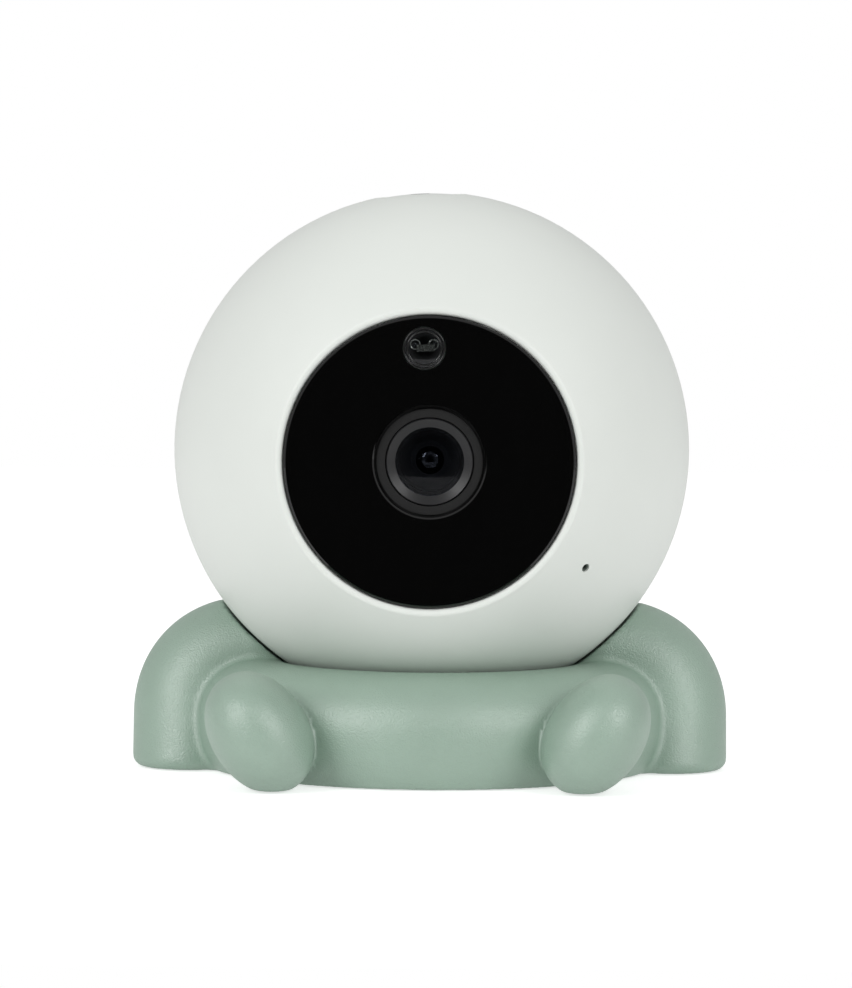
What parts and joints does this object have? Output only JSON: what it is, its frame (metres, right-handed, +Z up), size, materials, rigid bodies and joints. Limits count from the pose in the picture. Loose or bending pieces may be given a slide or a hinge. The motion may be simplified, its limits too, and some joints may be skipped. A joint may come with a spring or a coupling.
{
  "type": "baby monitor camera",
  "caption": "Ball-shaped baby monitor camera with a black front window and lens, lying loose in a cradle shaped like a seated toy bear; the ball turns and tilts.",
  "frame": {"origin": "on the resting plane, under the ball's centre, which is also the axis that the ball turns about", "axes": "+Z up, front (lens) towards -Y, +X to the right of someone facing the lens"},
  "size_m": [0.097, 0.089, 0.0937],
  "materials": {
    "soft_green": "satin soft-touch with a fine grain",
    "green_plastic": "matt",
    "steel": "bright",
    "grip_rubber": "matt",
    "weight_steel": "zinc grey",
    "seat_plastic": "matt",
    "slide_plastic": "smooth",
    "shell_plastic": "satin",
    "black_gloss": "polished",
    "tape": "foam",
    "black_matte": "matt",
    "grey_ring": "black anodised",
    "lens_glass": "coated",
    "filter_glass": "coated",
    "sensor_die": "polished",
    "circuit_board": "solder mask",
    "clear_cap": "clear",
    "lamp_body": "clear resin",
    "bright_metal": "plated",
    "frame_plastic": "matt",
    "socket_plastic": "matt",
    "flex_amber": "film",
    "speaker_black": "matt",
    "button_dark": "matt"
  },
  "bodies": {
    "base": {"cradle_shell": "soft_green", "base_plate": "green_plastic", "base_screws": "steel", "grip_pads": "grip_rubber", "base_weight": "weight_steel", "seat_cup": "green_plastic"},
    "seat": {"seat_ring": "seat_plastic", "seat_pads": "slide_plastic"},
    "ball": {"front_shell": "shell_plastic", "rear_shell": "shell_plastic", "shell_screws": "steel", "front_window": "black_gloss", "window_tape": "tape", "lens_shroud": "black_matte", "lens_front_ring": "grey_ring", "lens_front_glass": "lens_glass", "lens_stop": "black_matte", "lens_inner_glass": "lens_glass", "lens_rear_glass": "lens_glass", "lens_barrel": "black_matte", "lens_holder": "black_matte", "infrared_filter": "filter_glass", "image_sensor": "sensor_die", "sensor_board": "circuit_board", "sensor_screws": "steel", "lamp_cap": "clear_cap", "lamp_shroud": "grip_rubber", "lamp_board": "black_matte", "infrared_lamps": "lamp_body", "light_sensor": "bright_metal", "microphone": "black_matte", "microphone_boot": "grip_rubber", "inner_frame": "frame_plastic", "main_board": "circuit_board", "board_screws": "steel", "shield_can": "bright_metal", "board_sockets": "socket_plastic", "flex_cable": "flex_amber", "antenna": "circuit_board", "speaker": "speaker_black", "speaker_gasket": "grip_rubber", "power_inlet": "bright_metal", "inlet_board": "circuit_board", "button_board": "circuit_board", "button_switch": "black_matte"},
    "button": {"pairing_button": "button_dark"}
  },
  "joints": [
    {"name": "ball_turn", "type": "hinge", "parent": "base", "child": "seat", "pos_m": [0, 0, 0.006], "axis": [0, 0, 1], "continuous": true},
    {"name": "ball_tilt", "type": "hinge", "parent": "seat", "child": "ball", "pos_m": [0, 0, 0.052], "axis": [1, 0, 0], "range_deg": [-25, 20]},
    {"name": "pairing_press", "type": "slide", "parent": "ball", "child": "button", "axis": [0.0523, 0, -0.9986], "range_m": [0, 0.0006], "stiffness_N_per_m": 800, "springref_m": -0.0006}
  ]
}
